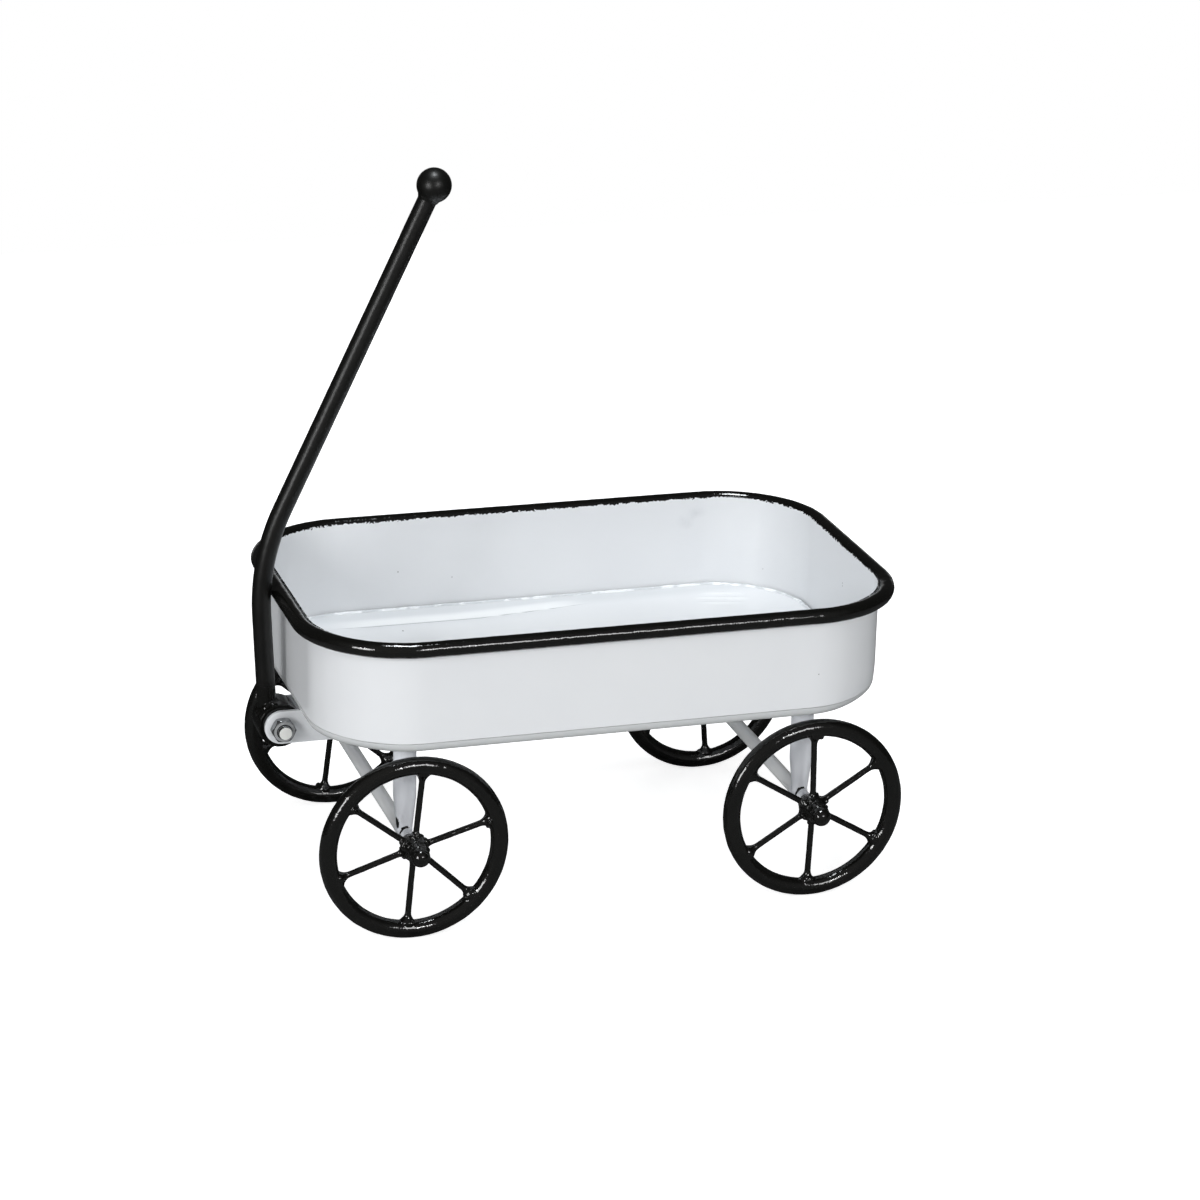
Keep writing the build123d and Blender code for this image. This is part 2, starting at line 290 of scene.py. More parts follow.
def legCoats(add, place, patch):
    # legs whiter than their tube, partly own paint and partly painted light; black painted shadow and patch at the
    # feet
    share = add("Attribute", attribute_name="legShare").outputs["Fac"]
    leg = add("Mix", {0: patch, 6: legCoat["paint"], 7: legCoat["patch"]}, data_type="RGBA")
    grain = add("TexNoise", {"Vector": place, "Scale": 1 / legCoat["grain"], "Detail": 2.0})
    shadowAndPatch = add("Attribute", attribute_name="blackTouch").outputs["Fac"]
    shadowAndPatch = add("Math", {0: grain, 1: legCoat["ragged"], 2: shadowAndPatch}, operation="MULTIPLY_ADD")
    middle = 0.5 + legCoat["ragged"] / 2
    shadowAndPatch = add("MapRange", {
        "Value": shadowAndPatch, "From Min": middle - legCoat["soft"], "From Max": middle + legCoat["soft"]})
    return [(patch, legCoat["tube"]), (share, leg), (shadowAndPatch, legCoat["black"])]


def rimCoats(add, place):
    # the seam's shadow at the foot, and black from the top down to a ragged edge
    tooth, bristle, calm = [
        add("TexNoise", {"Vector": place, "Scale": 1 / rimEdge[key], "Detail": 2.0})
        for key in ("toothSize", "bristleSize", "calmSize")]
    calm = add("MapRange", {
        "Value": calm, "From Min": rimEdge["calmFrom"], "From Max": rimEdge["calmFull"]})
    bristle = add("Math", {0: bristle, 1: 0.5}, operation="SUBTRACT")
    bristle = add("Math", {0: bristle, 1: calm}, operation="MULTIPLY")
    height = add("SeparateXYZ", {0: place}).outputs["Z"]
    foot = add("MapRange", {
        "Value": height,
        "From Min": seam["height"] + seam["soft"], "From Max": seam["height"] - seam["soft"]})
    for waver, depth in ((tooth, rimEdge["toothDepth"]), (bristle, rimEdge["bristleDepth"])):
        height = add("Math", {0: waver, 1: 2 * depth, 2: height}, operation="MULTIPLY_ADD")
    middle = rimEdge["height"] + rimEdge["toothDepth"]
    painted = add("MapRange", {
        "Value": height, "From Min": middle - rimEdge["soft"], "From Max": middle + rimEdge["soft"]})
    return [(foot, seam["grey"]), (painted, rimEdge["black"])]


def whiteEnamel(name, *extras):
    # extras: marks, floor, bead, legs, rim
    look = whiteLook
    material, add, place = startMaterial(name)
    patch, wave, peel = [
        add("TexNoise", {"Vector": place, "Scale": 1 / look[key], "Detail": detail})
        for key, detail in (("patchSize", 2.0), ("waveSize", 1.0), ("peelSize", 1.0))]
    rough = add("MapRange", {"Value": patch, "To Min": look["roughLow"], "To Max": look["roughHigh"]})
    under, coats = look["paint"], [(patch, look["patch"])]
    if "marks" in extras:
        coats += markCoats(add, place)
    if "floor" in extras:
        coats += floorCoats(add, place)
    # painted highlight dashes and painted crevice shade over the bead's darker base
    if "bead" in extras:
        paintedGlint = add("TexNoise", {"Vector": place, "Scale": 1 / beadCoat["paintedGlint"], "Detail": 2.0})
        paintedGlint = add("MapRange", {
            "Value": paintedGlint, "From Min": beadCoat["glintFrom"], "From Max": beadCoat["glintFull"]})
        crevice = add("Attribute", attribute_name="crevice").outputs["Fac"]
        under, coats = beadCoat["dull"], [(paintedGlint, beadCoat["pale"]), (crevice, beadCoat["crevice"])]
        rough = beadCoat["rough"]
    if "legs" in extras:
        under, coats = look["patch"], legCoats(add, place, patch)
    coats.append((specks(add, place, look["pinholeGrid"], look["pinholeSize"]), look["pinhole"]))
    bumps = [(look["waveDepth"], wave), (look["peelDepth"], peel)]
    if "rim" in extras:
        coats += rimCoats(add, place)
        painted = coats[-1][0]
        bumps.append((rimEdge["thick"], painted))
    return endMaterial(material, under, coats, bumps, {"Roughness": rough, "IOR": look["ior"]})


# Black enamel: thick gloss paint brushed over bar and weld. Nearly black, with lumps and brush drag
# that break its highlights into dashes.
blackLook = dict(
    paint="#080807", worn="#10100E", dust="#3A3937",
    patchSize=22 * mm,
    lumpSize=4.0 * mm, lumpDepth=0.12 * mm,
    dragSize=0.9 * mm, dragDepth=0.050 * mm,
    dustGrid=5.5 * mm, dustSize=0.20 * mm,
    roughLow=0.04, roughHigh=0.12, ior=1.5, specular=0.75,
    satin=0.30, satinStart=113 * mm, satinFull=128 * mm,    # the handle loses its gloss above the eye
    satinSpecular=0.42, satinDrag=0.015 * mm)


def blackEnamel(name, satin=False):
    look = blackLook
    material, add, place = startMaterial(name)
    patch, lump, drag = [
        add("TexNoise", {"Vector": place, "Scale": 1 / look[key], "Detail": detail})
        for key, detail in (("patchSize", 3.0), ("lumpSize", 2.0), ("dragSize", 1.0))]
    speck = specks(add, place, look["dustGrid"], look["dustSize"])
    rough = add("MapRange", {"Value": patch, "To Min": look["roughLow"], "To Max": look["roughHigh"]})
    dragDepth, specular = look["dragDepth"], look["specular"]
    if satin:
        height = add("SeparateXYZ", {0: place}).outputs["Z"]
        dull = add("MapRange", {
            "Value": height, "From Min": look["satinStart"], "From Max": look["satinFull"],
            "To Max": look["satin"]})
        rough = add("Math", {0: rough, 1: dull}, operation="ADD")
        dragDepth, specular = look["satinDrag"], look["satinSpecular"]
    coats = [(patch, look["worn"]), (speck, look["dust"])]
    bumps = [(look["lumpDepth"], lump), (dragDepth, drag)]
    return endMaterial(material, look["paint"], coats, bumps, {
        "Roughness": rough, "IOR": look["ior"], "Specular IOR Level": specular})


# Bright zinc plate on cut threads, and drawn bar: grey metals with cloudy patches and fine tool lines
steelLook = dict(
    zinc=dict(light="#C6C8C9", dark="#7C7E80", roughLow=0.10, roughHigh=0.22),
    drawn=dict(light="#9A9A98", dark="#7C7C7B", roughLow=0.24, roughHigh=0.42),
    # cut: sawn end, bare steel also painted brighter; side: painted shade on the nut's flanks; face: painted
    # highlight
    cut=dict(colour="#FCFCF8", rough=0.40, metal=0.15, start=boltHigh.y - 0.15 * mm),
    side=dict(colour="#55575A", end=nutHigh.y - 0.9 * mm),
    face=dict(colour="#D9DBDC", metal=0.35, height=nutHigh.y, half=0.06 * mm),
    cloudSize=3.5 * mm, lineSize=0.35 * mm, lineDepth=0.010 * mm)


def plainSteel(name, finish):
    look = {**steelLook, **steelLook[finish]}
    material, add, place = startMaterial(name)
    cloud, line = [
        add("TexNoise", {"Vector": place, "Scale": 1 / look[key], "Detail": detail})
        for key, detail in (("cloudSize", 4.0), ("lineSize", 1.0))]
    rough = add("MapRange", {"Value": cloud, "To Min": look["roughLow"], "To Max": look["roughHigh"]})
    metal, coats = 1.0, [(cloud, look["dark"])]
    if finish == "zinc":
        # painted shade on the nut's sides and a painted highlight on its face; the bolt's sawn end is bare steel,
        # duller, and also painted brighter
        cut, side, face = look["cut"], look["side"], look["face"]
        across = add("SeparateXYZ", {0: place}).outputs["Y"]
        shadedFlank = add("Math", {0: across, 1: side["end"]}, operation="LESS_THAN")
        shadedFlank = add("Math", {0: shadedFlank, 1: cloud}, operation="MULTIPLY")
        sawn = add("Math", {0: across, 1: cut["start"]}, operation="GREATER_THAN")
        front = add("Math", {0: across, 1: face["height"], 2: face["half"]}, operation="COMPARE")
        pale = add("Math", {0: front, 1: cloud}, operation="MULTIPLY")
        coats += [(shadedFlank, side["colour"]), (sawn, cut["colour"]), (pale, face["colour"])]
        rough = add("Mix", {0: sawn, 2: rough, 3: cut["rough"]})
        metal = add("Mix", {0: sawn, 2: 1.0, 3: cut["metal"]})
        metal = add("Mix", {0: front, 2: metal, 3: face["metal"]})
    bumps = [(look["lineDepth"], line)]
    return endMaterial(material, look["light"], coats, bumps, {"Roughness": rough, "Metallic": metal})


white = whiteEnamel("whiteEnamel", "marks")
whiteWall = whiteEnamel("whiteEnamelBrushedRim", "marks", "rim")
whiteFloor = whiteEnamel("whiteEnamelFloor", "marks", "floor")
whiteLegs = whiteEnamel("whiteEnamelLegs", "legs")
whiteBead = whiteEnamel("whiteEnamelBead", "bead")
black = blackEnamel("blackEnamel")
blackHandle = blackEnamel("blackEnamelHandle", satin=True)
zinc = plainSteel("zincPlatedSteel", "zinc")
drawn = plainSteel("drawnSteel", "drawn")
finishes = {"white_enamel": white, "black_enamel": black, "zinc_plate": zinc, "bare_steel": drawn}
for subpart in frame["record"]["subparts"]:
    slots = frame["nodes"][subpart["node"]].data.materials
    slots.clear()
    slots.append(finishes[subpart["material_slot"]])
print("materials ready")

# Tray: wall and floor are lofted loop by loop round the rounded rectangle
tray = dict(
    middle=(wallLow.x + wallHigh.x) / 2,
    halfLength=(wallHigh.x - wallLow.x) / 2, halfWidth=(wallHigh.y - wallLow.y) / 2,
    corner=55.1 * mm, sheet=0.9 * mm,
    arcSteps=40, longSteps=64, shortSteps=34,
    crest=((0.12, 0.2 * mm), (0.35, 0.0), (0.65, 0.0), (0.88, 0.2 * mm)),      # share of the sheet, depth
    foot=(0.92, 0.08),
    lift=(0.1, 1.2, 2.5, 4, 6, 8.5, 11, 14, 18, 24, 30, 36, 42, 48, 54, 57.5, 59.3),    # mm from the foot
    rollMark=0.16 * mm, rollSize=11 * mm,          # flats left round the corners by the bending rolls
    cutWander=0.16 * mm, cutSize=7 * mm,           # uneven cut of the lower edge
    drawTop=133 * mm,                              # below this the corners are drawn in
    drawIn=dict(front_left=1.6 * mm, rear_left=3.2 * mm, rear_right=2.2 * mm, front_right=2.0 * mm))
spine = tray["halfLength"] - tray["halfWidth"]     # half of the line that the tray's middle runs along


def drawnIn(corner, z, part):
    # how far the tray's corner is drawn in at this height, part of the way round it
    depth = min(1, max(0, (tray["drawTop"] - z) / (tray["drawTop"] - floorLow.z)))
    return tray["drawIn"][corner] * depth ** 2 * math.sin(math.pi * part) ** 2


def trayLoop(inset, z):
    # points once round the tray, inside the outer face of the wall by the inset
    straightX = tray["halfLength"] - tray["corner"]
    straightY = tray["halfWidth"] - tray["corner"]
    turns = (("front_left", 1, 1), ("rear_left", -1, 1), ("rear_right", -1, -1), ("front_right", 1, -1))
    arcs = []
    for number, (corner, signX, signY) in enumerate(turns):
        arc = []
        for step in range(tray["arcSteps"] + 1):
            part = step / tray["arcSteps"]
            angle = math.radians(90 * (number + part))
            place = Vector((number, tray["corner"] * math.pi / 2 * part / tray["rollSize"], 0))
            rolled = tray["rollMark"] * (0.5 + noise.noise(place)) * math.sin(math.pi * part)
            reach = tray["corner"] - inset - (drawnIn(corner, z, part) + rolled)
            arc.append(Vector((tray["middle"] + signX * straightX + reach * math.cos(angle),
                               signY * straightY + reach * math.sin(angle), z)))
        arcs.append(arc)
    loop = []
    for number, arc in enumerate(arcs):
        after = arcs[(number + 1) % 4][0]
        count = tray["longSteps"] if number % 2 == 0 else tray["shortSteps"]
        loop += arc
        loop += [arc[-1].lerp(after, step / count) for step in range(1, count)]
    return loop


def loft(loops, closed):
    # quads between neighbouring loops, and back to the first one where the section is closed
    shape = bmesh.new()
    rings = [[shape.verts.new(point) for point in loop] for loop in loops]
    for ring, after in zip(rings, rings[1:] + rings[:1] if closed else rings[1:]):
        for i in range(len(ring)):
            j = (i + 1) % len(ring)
            shape.faces.new((ring[i], ring[j], after[j], after[i]))
    if not closed:
        shape.faces.new(rings[0])
        shape.faces.new(list(reversed(rings[-1])))
    bmesh.ops.recalc_face_normals(shape, faces=shape.faces)
    return shape


def trayWall():
    low, top, sheet = wallLow.z, wallHigh.z, tray["sheet"]
    outer = [(0.0, low + h * mm) for h in tray["lift"]]
    crest = [(share * sheet, top - down) for share, down in tray["crest"]]
    inner = [(sheet, z) for _, z in reversed(outer)]
    foot = [(share * sheet, low) for share in tray["foot"]]
    loops = [trayLoop(inset, z) for inset, z in outer + crest + inner + foot]
    for loop in (loops[0], loops[-3], loops[-2], loops[-1]):
        for point in loop:
            point.z += tray["cutWander"] * noise.noise(point / tray["cutSize"])
    return loft(loops, closed=True)


floorShape = dict(
    fit=0.05 * mm, bend=2.0 * mm, roll=5.0 * mm, lip=5.6 * mm, lipEdge=0.08 * mm,
    bow=0.35 * mm, bowSize=85 * mm, edgeHold=6,    # with more hold the dents go nearer to the edge
    topShares=[0.985 - 0.018 * k for k in range(54)], underShares=[0.9, 0.6, 0.3, 0.05],
    ripples=dict(x=-127.5 * mm, y=-76.5 * mm, slant=0.24, period=9 * mm, depth=0.40 * mm,
                 halfX=18 * mm, halfY=13 * mm, fadeFrom=0.6, fadeTo=1.1),
    dull=0.5, wallShadeFrom=82 * mm, wallShadeFull=97 * mm)   # painted shade along both sides, by the walls


def ramp(value, start, stop):
    # soft step from 0 at start to 1 at stop
    t = min(1, max(0, (value - start) / (stop - start)))
    return t * t * (3 - 2 * t)


def floorDents(x, y):
    # height lost to the crease and won by the small waves, then the painted light, or painted shade where
    # negative, there
    ripples = floorShape["ripples"]
    off = y - crease["y"] + crease["slant"] * max(0, crease["slantFrom"] - x)
    kept = ramp(x, crease["rearEnd"], crease["rearEnd"] + crease["fade"])
    kept *= ramp(x, crease["frontEnd"], crease["frontEnd"] - crease["fade"])
    across, along = y - ripples["y"], x - ripples["x"]
    away = math.hypot(along / ripples["halfX"], across / ripples["halfY"])
    inside = 1 - ramp(away, ripples["fadeFrom"], ripples["fadeTo"])
    swell = inside * math.cos(2 * math.pi * (across + ripples["slant"] * along) / ripples["period"])
    rise = ripples["depth"] * swell - crease["depth"] * kept * math.exp(-abs(off) / crease["width"])
    band = kept * ramp(off, -crease["band"], -crease["band"] / 2) if off < 0 else 0
    dull = floorShape["dull"] * ramp(abs(y), floorShape["wallShadeFrom"], floorShape["wallShadeFull"])
    return rise, max(band, swell) - dull


def middleLine(point):
    # the nearest place on the tray's middle line, at the point's height
    along = max(-spine, min(spine, point.x - tray["middle"]))
    return Vector((tray["middle"] + along, 0, point.z))


def arcPoints(insetMiddle, zMiddle, radius, start, stop, steps):
    # section points on an arc, angles in degrees from outwards (0) to up (90)
    angles = [math.radians(start + (stop - start) * k / steps) for k in range(steps + 1)]
    return [(insetMiddle - radius * math.cos(a), zMiddle + radius * math.sin(a)) for a in angles]


def trayFloor():
    sizes, sheet = floorShape, tray["sheet"]
    bottom, top = floorLow.z, floorHigh.z
    edge = sheet + sizes["fit"]
    inside = edge + sheet
    lipTop = bottom + sizes["lip"]
    section = arcPoints(edge + sizes["bend"], top - sizes["bend"], sizes["bend"], 90, 0, 5)
    section += [(edge, lipTop), (sizes["lipEdge"], lipTop), (0.0, lipTop - sizes["lipEdge"])]
    section += arcPoints(sizes["roll"], bottom + sizes["roll"], sizes["roll"], 0, -90, 9)
    section += arcPoints(sizes["roll"], bottom + sizes["roll"], sizes["roll"] - inside, -90, 0, 6)
    section += arcPoints(inside + sheet, top - sizes["bend"], sheet, 0, 90, 4)
    loops = [trayLoop(inset, z) for inset, z in section]
    above = []
    for share in reversed(sizes["topShares"]):
        ring = [middleLine(point).lerp(point, share) for point in loops[0]]
        for point in ring:
            rise = sizes["bow"] * noise.noise(point / sizes["bowSize"]) + floorDents(point.x, point.y)[0]
            point.z += rise * (1 - share ** sizes["edgeHold"])
        above.append(ring)
    below = [[middleLine(point).lerp(point, share) for point in loops[-1]]
             for share in sizes["underShares"]]
    return loft(above + loops + below, closed=False)


piece = settle(newPiece("trayWall", trayWall()), whiteWall, sharp=35)
mount(piece, "cart", "white_enamel", "tray_wall")
piece = settle(newPiece("trayFloor", trayFloor()), whiteFloor, sharp=35)
pointValues(piece, "floorTone", lambda vertex: floorDents(vertex.co.x, vertex.co.y)[1])
mount(piece, "cart", "white_enamel", "tray_floor")


def lumpPush(add, size, depth, seed, detail):
    # a lumpy push along the normal, out and in by half the depth
    scale = add("Math", {0: 1.0, 1: size}, operation="DIVIDE")
    lump = add("TexNoise", {"W": seed, "Scale": scale, "Detail": detail}, noise_dimensions="4D")
    rise = add("Math", {0: lump, 1: 0.5}, operation="SUBTRACT")
    rise = add("Math", {0: rise, 1: depth}, operation="MULTIPLY")
    normal = add("GeometryNodeInputNormal")
    return add("VectorMath", {0: normal, "Scale": rise}, operation="SCALE")


# A bar laid once round the tray, lumpy where it was brushed or smeared
def barRoundTray():
    tree, add, given = startTree("barRoundTray", Vector="place", Material="material",
                                 Float="length width corner radius step lumpSize lumpDepth seed")
    path = add("GeometryNodeCurvePrimitiveQuadrilateral", {0: given["length"], 1: given["width"]})
    path = add("GeometryNodeFilletCurve", {
        "Curve": path, "Count": 40, "Radius": given["corner"]}, mode="POLY")
    path = add("GeometryNodeResampleCurve", {"Curve": path, "Length": given["step"]}, mode="LENGTH")
    bar = add("GeometryNodeCurvePrimitiveCircle", {"Resolution": 28, "Radius": given["radius"]})
    swept = add("GeometryNodeCurveToMesh", {"Curve": path, "Profile Curve": bar})
    push = lumpPush(add, given["lumpSize"], given["lumpDepth"], given["seed"], 2.0)
    lumpy = add("GeometryNodeSetPosition", {"Geometry": swept, "Offset": push})
    placed = add("GeometryNodeTransform", {"Geometry": lumpy, "Translation": given["place"]})
    return endTree(tree, placed, given["material"])


hoop = dict(
    radius=(hoopHigh.z - hoopLow.z) / 2, lumpSize=6 * mm, lumpDepth=0.34 * mm, seed=3.0, step=1.0 * mm)
bead = dict(
    radius=2.0 * mm, standOff=1.6 * mm, sunk=1.1 * mm,
    lumpSize=6 * mm, lumpDepth=1.2 * mm, seed=8.0, step=0.6 * mm,
    darkUntil=-20, lightFrom=2)                    # degrees of lean from up towards the tray's middle, over which the painted crevice shade fades out
barTree = barRoundTray()


def roundTray(name, sizes, inset, z, material):
    # inset is from the outer face of the wall in to the middle of the bar
    piece = pointsPiece(name, [])
    useTree(piece, barTree, dict(
        sizes, length=2 * (tray["halfLength"] - inset), width=2 * (tray["halfWidth"] - inset),
        corner=tray["corner"] - inset, place=(tray["middle"], 0.0, z), material=material))
    return settle(piece, material)


def beadCreviceShade(vertex):
    # painted shade, dark where the bead turns under, away from the tray's middle
    inwards = middleLine(vertex.co) - vertex.co
    lean = math.degrees(math.atan2(vertex.normal.dot(inwards.normalized()), vertex.normal.z))
    return 1 - ramp(lean, bead["darkUntil"], bead["lightFrom"])


def cornerPull(place):
    # the way from the plain rounded rectangle in to the drawn corner of the wall
    overX = abs(place.x - tray["middle"]) - tray["halfLength"] + tray["corner"]
    overY = abs(place.y) - tray["halfWidth"] + tray["corner"]
    if min(overX, overY) <= 0:
        return Vector((0, 0, 0))
    corner = ("front" if place.x > tray["middle"] else "rear") + ("_left" if place.y > 0 else "_right")
    inwards = Vector((-math.copysign(overX, place.x - tray["middle"]), -math.copysign(overY, place.y), 0))
    return inwards.normalized() * drawnIn(corner, place.z, math.atan2(overY, overX) / (math.pi / 2))


hoopInset = tray["halfWidth"] - (hoopHigh.y - hoop["radius"])
piece = roundTray("rimHoop", hoop, hoopInset, (hoopLow.z + hoopHigh.z) / 2, black)
mount(piece, "cart", "black_enamel", "rim_hoop")
beadInset = tray["sheet"] + bead["standOff"]
piece = roundTray("floorBead", bead, beadInset, floorHigh.z - bead["sunk"], whiteBead)
pointValues(piece, "crevice", beadCreviceShade)
for vertex in piece.data.vertices:
    vertex.co += cornerPull(vertex.co)
mount(piece, "cart", "white_enamel", "floor_bead")


# Paint over a fused skin: slow lumps and finer ones, both along the normal
def paintSkin():
    tree, add, given = startTree("paintSkin", Material="material",
                                 Float="lumpSize lumpDepth fineSize fineDepth seed")
    slow, fine = [lumpPush(add, given[label + "Size"], given[label + "Depth"], given["seed"], 1.0)
                  for label in ("lump", "fine")]
    both = add("VectorMath", {0: slow, 1: fine}, operation="ADD")
    lumpy = add("GeometryNodeSetPosition", {"Geometry": given["Geometry"], "Offset": both})
    return endTree(tree, lumpy, given["material"])


skinTree = paintSkin()
thickPaint = dict(lumpSize=6 * mm, lumpDepth=0.30 * mm, fineSize=1.8 * mm, fineDepth=0.10 * mm)
handlePaint = dict(thickPaint, lumpDepth=0.16 * mm, fineDepth=0.05 * mm)
nutPaint = dict(thickPaint, lumpSize=3 * mm, lumpDepth=0.12 * mm, fineDepth=0.04 * mm)
thinPaint = dict(lumpSize=14 * mm, lumpDepth=0.12 * mm, fineSize=3 * mm, fineDepth=0.03 * mm)


def paint(piece, coat, seed, material):
    useTree(piece, skinTree, dict(coat, seed=float(seed), material=material))
    return settle(piece, material)


# Round and hexagonal pieces, drawn upwards round the Z axis
def lathe(section, segments, bored=False):
    # each loop has a height, and a radius that is one number or follows the angle
    turn = [2 * math.pi * k / segments for k in range(segments)]
    loops = []
    for z, radius in section:
        reach = [radius(a) if callable(radius) else radius for a in turn]
        loops.append([Vector((r * math.cos(a), r * math.sin(a), z)) for r, a in zip(reach, turn)])
    return loft(loops, closed=bored)


hexagon = dict(corner=1.135, face=0.93)            # of half the width: rounded corners, chamfered face


def hexEdge(flats, depth):
    # radius round a hexagon at this depth under its face
    def radius(angle):
        part = angle % (math.pi / 3) - math.pi / 6
        flat = flats / 2 / math.cos(part)
        return min(flat, hexagon["corner"] * flats / 2, hexagon["face"] * flats / 2 + depth)
    return radius


# Wheels: one skin of ring, spokes, hub and weld lumps, grown from the six points where spokes meet the ring
wheel = dict(
    ringRadius=50 * mm, barRadius=5.15 * mm, wireRadius=1.82 * mm,     # smoothing draws them in a little
    boreRadius=3.3 * mm,
    hub=((-11.5, 4.0), (-8.5, 4.7), (-5.8, 6.2), (-3.6, 7.5),          # mm outwards, radius
         (2.4, 7.7), (4.2, 7.0), (6.4, 6.3)),
    weldLength=5.0 * mm, ringWeld=4.5 * mm, hubWeld=3.6 * mm, hubReach=10.0 * mm, ringReach=2.5 * mm,
    spokeRoot=2.0 * mm, spokeTip=1.5 * mm,         # into the hub and into the ring
    lump=1.5 * mm, lumpLeast=0.45, lumpMost=1.15, lumpBand=4.5 * mm,
    hubLumps=60000.0, ringLumps=14000.0,           # lumps to the square metre
    voxel=0.46 * mm, softRounds=4,
    angles=dict(                                   # degrees from +X towards +Z, welded by hand
        front_left=(38, 96, 164, 224, 275, 342), front_right=(40, 100, 160, 221, 277, 341),
        rear_left=(32, 89, 148, 211, 272, 328), rear_right=(25, 85, 145, 205, 265, 325)))


def wireWheel():
    tree, add, given = startTree(
        "wireWheel", Object="hub", Int="seed", Vector="centre", Material="material",
        Float="ringRadius barRadius wireRadius spokeStart weldStart hubWeldEnd ringFlare hubFlare "
              "bareMiddle bareHalf lump lumpBand hubLumps ringLumps")
    path = add("GeometryNodeCurvePrimitiveCircle", {"Resolution": 180, "Radius": given["ringRadius"]})
    bar = add("GeometryNodeCurvePrimitiveCircle", {"Resolution": 28, "Radius": given["barRadius"]})
    ring = add("GeometryNodeCurveToMesh", {"Curve": path, "Profile Curve": bar})
    ring = add("GeometryNodeTransform", {"Geometry": ring, "Rotation": (math.radians(90), 0, 0)})
    hub = add("GeometryNodeObjectInfo", {"Object": given["hub"]}).outputs["Geometry"]
    # spoke: a wire that flares into its welds, its outer end at the point it is set on
    start = add("CombineXYZ", {"X": given["spokeStart"]})
    line = add("GeometryNodeCurvePrimitiveLine", {"Start": start, "End": (wheel["spokeTip"], 0, 0)})
    line = add("GeometryNodeResampleCurve", {"Curve": line, "Count": 40}, mode="COUNT")
    here = add("GeometryNodeInputPosition")
    spot = add("SeparateXYZ", {0: here}).outputs
    thick = 1.0
    for begin, end, flare in ((given["weldStart"], 0.0, given["ringFlare"]),
                              (given["hubWeldEnd"], given["spokeStart"], given["hubFlare"])):
        near = add("MapRange", {"Value": spot["X"], "From Min": begin, "From Max": end})
        near = add("Math", {0: near, 1: 2.0}, operation="POWER")
        thick = add("Math", {0: near, 1: flare, 2: thick}, operation="MULTIPLY_ADD")
    wire = add("GeometryNodeCurvePrimitiveCircle", {"Resolution": 16, "Radius": given["wireRadius"]})
    spoke = add("GeometryNodeCurveToMesh", {
        "Curve": line, "Profile Curve": wire, "Scale": thick, "Fill Caps": True})
    aim = add("FunctionNodeAlignRotationToVector", {"Vector": here}, axis="X")
    spokes = add("GeometryNodeInstanceOnPoints", {
        "Points": given["Geometry"], "Instance": spoke, "Rotation": aim})
    # weld lumps at both ends of the spokes, near the ring's plane
    spokes = add("GeometryNodeRealizeInstances", {"Geometry": spokes})
    welded = add("GeometryNodeJoinGeometry", {0: [hub, spokes]})
    across = add("Math", {0: spot["Y"]}, operation="ABSOLUTE")
    band = add("Math", {0: across, 1: given["lumpBand"]}, operation="LESS_THAN")
    out = add("VectorMath", {0: here}, operation="LENGTH")
    bare = add("Math", {0: out, 1: given["bareMiddle"], 2: given["bareHalf"]}, operation="COMPARE")
    weld = add("Math", {0: band, 1: bare}, operation="SUBTRACT")
    atRing = add("Math", {0: out, 1: given["bareMiddle"]}, operation="GREATER_THAN")
    density = add("Mix", {0: atRing, 2: given["hubLumps"], 3: given["ringLumps"]})
    spots = add("GeometryNodeDistributePointsOnFaces", {
        "Mesh": welded, "Selection": weld, "Density": density, "Seed": given["seed"]})
    ball = add("GeometryNodeMeshIcoSphere", {"Radius": given["lump"], "Subdivisions": 2})
    size = add("FunctionNodeRandomValue", {
        2: wheel["lumpLeast"], 3: wheel["lumpMost"], "Seed": given["seed"]}, data_type="FLOAT")
    lumps = add("GeometryNodeInstanceOnPoints", {"Points": spots, "Instance": ball, "Scale": size})
    whole = add("GeometryNodeJoinGeometry", {0: [ring, welded, lumps]})
    placed = add("GeometryNodeTransform", {"Geometry": whole, "Translation": given["centre"]})
    return endTree(tree, placed, given["material"])


def hubTemplate(side):
    # bored along the axle, its outer end away from the cart
    section = [(along * mm, radius * mm) for along, radius in wheel["hub"]]
    section += [(along, wheel["boreRadius"]) for along, _ in (section[-1], section[0])]
    shape = lathe(section, 48, bored=True)
    tip = Matrix.Rotation(math.radians(-90 * sides[side]), 4, "X")
    bmesh.ops.transform(shape, matrix=tip, verts=shape.verts)
    return newPiece("hubTemplate", shape)


wheelTree = wireWheel()
hubRadius = max(radius for _, radius in wheel["hub"]) * mm
reach = wheel["ringRadius"] - wheel["barRadius"]
spokeStart = hubRadius - wheel["spokeRoot"] - reach
bare = (wheel["hubReach"], reach - wheel["ringReach"])
for number, (end, side) in enumerate(corners):
    corner = f"{end}_{side}"
    low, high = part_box(f"{corner}_wheel_ring")
    template = hubTemplate(side)
    turns = [math.radians(angle) for angle in wheel["angles"][corner]]
    piece = pointsPiece(end + side.capitalize() + "Wheel",
                        [(reach * math.cos(a), 0, reach * math.sin(a)) for a in turns])
    useTree(piece, wheelTree, dict(
        wheel, hub=template, spokeStart=spokeStart, weldStart=-wheel["weldLength"],
        hubWeldEnd=spokeStart + wheel["weldLength"], ringFlare=wheel["ringWeld"] / wheel["wireRadius"] - 1,
        hubFlare=wheel["hubWeld"] / wheel["wireRadius"] - 1, bareMiddle=sum(bare) / 2,
        bareHalf=(bare[1] - bare[0]) / 2, seed=11 + number, centre=tuple((low + high) / 2), material=black))
    fuse(piece, wheel)
    paint(piece, thickPaint, 20 + number, black)
    bpy.data.objects.remove(template)
    mount(piece, f"{corner}_wheel", "black_enamel",
          *[f"{corner}_wheel_{part}" for part in ("ring", "spokes", "hub")])


